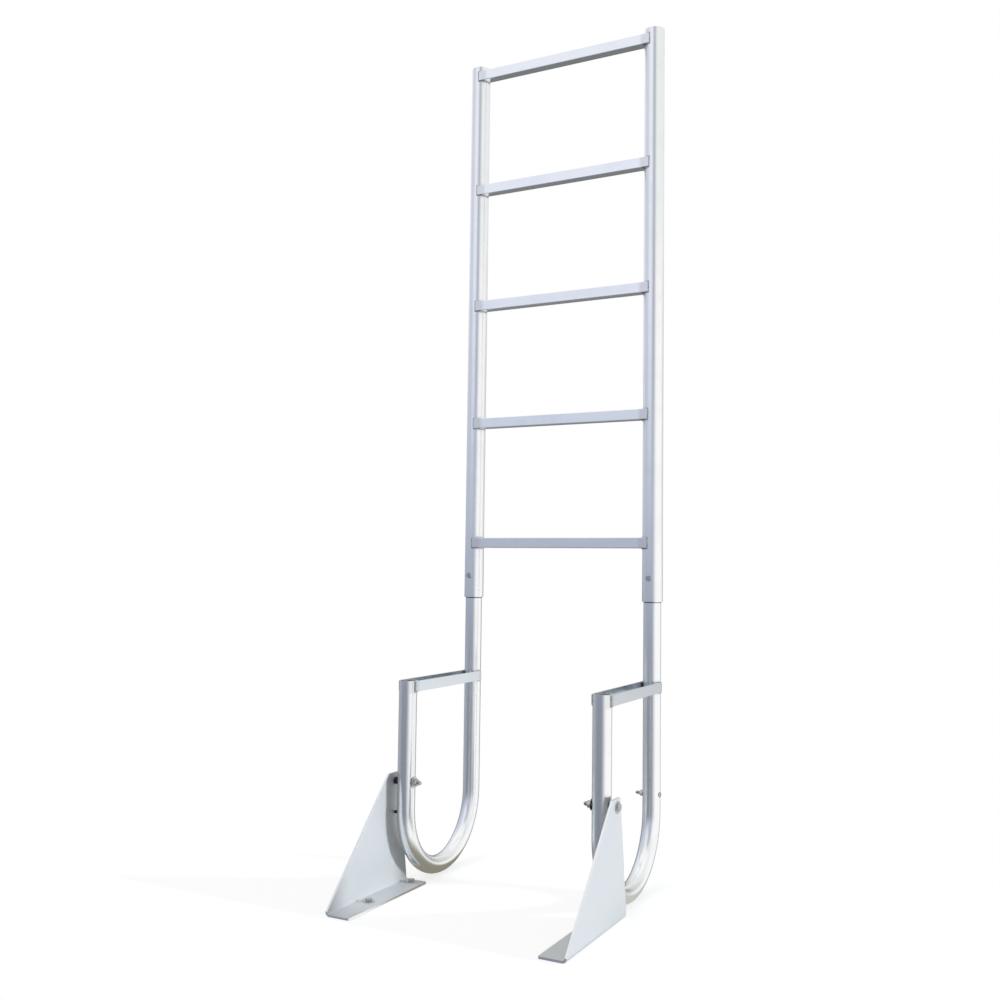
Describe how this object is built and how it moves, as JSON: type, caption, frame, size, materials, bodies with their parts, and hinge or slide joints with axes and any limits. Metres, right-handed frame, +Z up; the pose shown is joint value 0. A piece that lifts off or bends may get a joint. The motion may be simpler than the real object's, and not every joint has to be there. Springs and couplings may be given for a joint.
{
  "type": "swing dock ladder",
  "caption": "Swing ladder for a dock, stowed upright: tube rails with rungs, bent handrails that pivot on two deck brackets.",
  "frame": {"origin": "on the sole of the left foot, on the flange's middle line and straight below the pivot axis", "axes": "+X along the rungs from the left bracket to the right one, +Y from the pivots towards the long legs, +Z up"},
  "size_m": [0.5636, 0.5886, 2.0382],
  "materials": {
    "tube": "mill finish, drawn lengthwise",
    "flat_bar": "mill finish",
    "plate": "satin rolled plate",
    "stainless": "plain stainless",
    "nylon": "black nylon"
  },
  "bodies": {
    "brackets": {"left_bracket": "plate", "left_pivot_bolt": "stainless", "left_pivot_washer": "stainless", "left_pivot_spacer": "nylon", "left_nut_washer": "stainless", "left_pivot_nut": "stainless", "right_bracket": "plate", "right_pivot_bolt": "stainless", "right_pivot_washer": "stainless", "right_pivot_spacer": "nylon", "right_nut_washer": "stainless", "right_pivot_nut": "stainless"},
    "ladder": {"rung_1": "tube", "rung_2": "tube", "rung_3": "tube", "rung_4": "tube", "rung_5": "tube", "left_rail": "tube", "left_handrail": "tube", "left_outer_brace": "flat_bar", "left_inner_brace": "flat_bar", "left_rub_pin": "nylon", "left_joint_bolt": "stainless", "left_joint_nut": "stainless", "right_rail": "tube", "right_handrail": "tube", "right_outer_brace": "flat_bar", "right_inner_brace": "flat_bar", "right_rub_pin": "nylon", "right_joint_bolt": "stainless", "right_joint_nut": "stainless", "right_leg_bolt": "stainless", "right_leg_nut": "stainless"}
  },
  "joints": [
    {"name": "swing", "type": "hinge", "parent": "brackets", "child": "ladder", "pos_m": [0.245, 0, 0.239], "axis": [1, 0, 0], "range_deg": [0, 180]}
  ]
}
